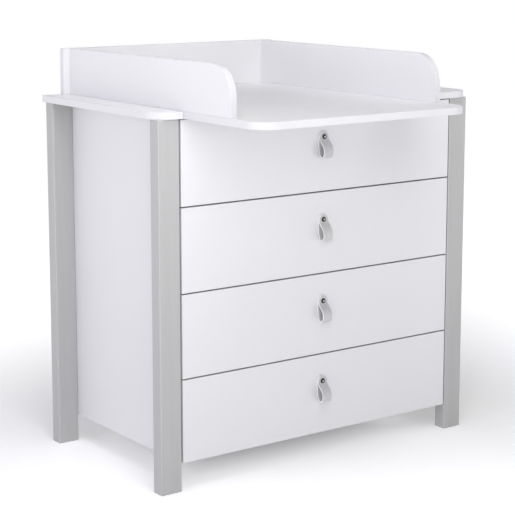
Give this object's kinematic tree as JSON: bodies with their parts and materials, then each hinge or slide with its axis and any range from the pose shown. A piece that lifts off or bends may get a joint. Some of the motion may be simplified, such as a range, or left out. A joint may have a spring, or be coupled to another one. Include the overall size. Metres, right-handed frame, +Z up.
{
  "type": "changing table",
  "caption": "Chest of drawers on corner posts with a raised, walled changing tray that overhangs the front; leather loop pulls.",
  "frame": {"origin": "on the floor at the middle of the outer box", "axes": "+X to the right seen from the front, +Y towards the back, +Z up"},
  "size_m": [0.918, 0.792, 0.968],
  "materials": {
    "white_melamine": "white melamine-faced chipboard with ABS edge banding, satin",
    "grey_lacquer": "solid wood in opaque light grey lacquer, satin",
    "drawer_board": "white foil-wrapped board, satin",
    "white_hardboard": "white-lacquered hardboard, matt",
    "grey_leather": "light grey leather with painted edges",
    "dark_nickel": "black nickel plated",
    "zinc_plated_steel": "bright zinc plated",
    "zinc_casting": "die-cast zinc, tumbled",
    "runner_steel": "rolled zinc-plated steel"
  },
  "bodies": {
    "cabinet": {"post_front_left": "grey_lacquer", "post_front_right": "grey_lacquer", "post_rear_left": "grey_lacquer", "post_rear_right": "grey_lacquer", "side_panel_left": "white_melamine", "side_panel_right": "white_melamine", "top_panel": "white_melamine", "bottom_panel": "white_melamine", "back_panel": "white_hardboard", "front_top_rail": "white_melamine", "rear_top_rail": "white_melamine", "carcass_cams": "zinc_casting", "carcass_screws": "zinc_plated_steel", "runner_tracks_left": "runner_steel", "runner_tracks_right": "runner_steel", "tray_back": "white_melamine", "tray_left": "white_melamine", "tray_right": "white_melamine", "tray_front_board": "white_melamine", "tray_screws": "zinc_plated_steel"},
    "drawer_1": {"drawer_1_front": "white_melamine", "drawer_1_side_left": "drawer_board", "drawer_1_side_right": "drawer_board", "drawer_1_back": "drawer_board", "drawer_1_bottom": "white_hardboard", "drawer_1_strap": "grey_leather", "drawer_1_strap_screw": "dark_nickel", "drawer_1_box_screws": "zinc_plated_steel", "drawer_1_runner_inner": "runner_steel"},
    "runner_1_middle": {"drawer_1_runner_middle": "runner_steel"},
    "drawer_2": {"drawer_2_front": "white_melamine", "drawer_2_side_left": "drawer_board", "drawer_2_side_right": "drawer_board", "drawer_2_back": "drawer_board", "drawer_2_bottom": "white_hardboard", "drawer_2_strap": "grey_leather", "drawer_2_strap_screw": "dark_nickel", "drawer_2_box_screws": "zinc_plated_steel", "drawer_2_runner_inner": "runner_steel"},
    "runner_2_middle": {"drawer_2_runner_middle": "runner_steel"},
    "drawer_3": {"drawer_3_front": "white_melamine", "drawer_3_side_left": "drawer_board", "drawer_3_side_right": "drawer_board", "drawer_3_back": "drawer_board", "drawer_3_bottom": "white_hardboard", "drawer_3_strap": "grey_leather", "drawer_3_strap_screw": "dark_nickel", "drawer_3_box_screws": "zinc_plated_steel", "drawer_3_runner_inner": "runner_steel"},
    "runner_3_middle": {"drawer_3_runner_middle": "runner_steel"},
    "drawer_4": {"drawer_4_front": "white_melamine", "drawer_4_side_left": "drawer_board", "drawer_4_side_right": "drawer_board", "drawer_4_back": "drawer_board", "drawer_4_bottom": "white_hardboard", "drawer_4_strap": "grey_leather", "drawer_4_strap_screw": "dark_nickel", "drawer_4_box_screws": "zinc_plated_steel", "drawer_4_runner_inner": "runner_steel"},
    "runner_4_middle": {"drawer_4_runner_middle": "runner_steel"}
  },
  "joints": [
    {"name": "drawer_1_slide", "type": "slide", "parent": "cabinet", "child": "drawer_1", "axis": [0, -1, 0], "range_m": [0, 0.4]},
    {"name": "runner_1_slide", "type": "slide", "parent": "cabinet", "child": "runner_1_middle", "axis": [0, -1, 0], "range_m": [0, 0.2]},
    {"name": "drawer_2_slide", "type": "slide", "parent": "cabinet", "child": "drawer_2", "axis": [0, -1, 0], "range_m": [0, 0.4]},
    {"name": "runner_2_slide", "type": "slide", "parent": "cabinet", "child": "runner_2_middle", "axis": [0, -1, 0], "range_m": [0, 0.2]},
    {"name": "drawer_3_slide", "type": "slide", "parent": "cabinet", "child": "drawer_3", "axis": [0, -1, 0], "range_m": [0, 0.4]},
    {"name": "runner_3_slide", "type": "slide", "parent": "cabinet", "child": "runner_3_middle", "axis": [0, -1, 0], "range_m": [0, 0.2]},
    {"name": "drawer_4_slide", "type": "slide", "parent": "cabinet", "child": "drawer_4", "axis": [0, -1, 0], "range_m": [0, 0.4]},
    {"name": "runner_4_slide", "type": "slide", "parent": "cabinet", "child": "runner_4_middle", "axis": [0, -1, 0], "range_m": [0, 0.2]}
  ],
  "couplings": [
    {"joint": "runner_1_slide", "follows": "drawer_1_slide", "ratio": 0.5},
    {"joint": "runner_2_slide", "follows": "drawer_2_slide", "ratio": 0.5},
    {"joint": "runner_3_slide", "follows": "drawer_3_slide", "ratio": 0.5},
    {"joint": "runner_4_slide", "follows": "drawer_4_slide", "ratio": 0.5}
  ]
}
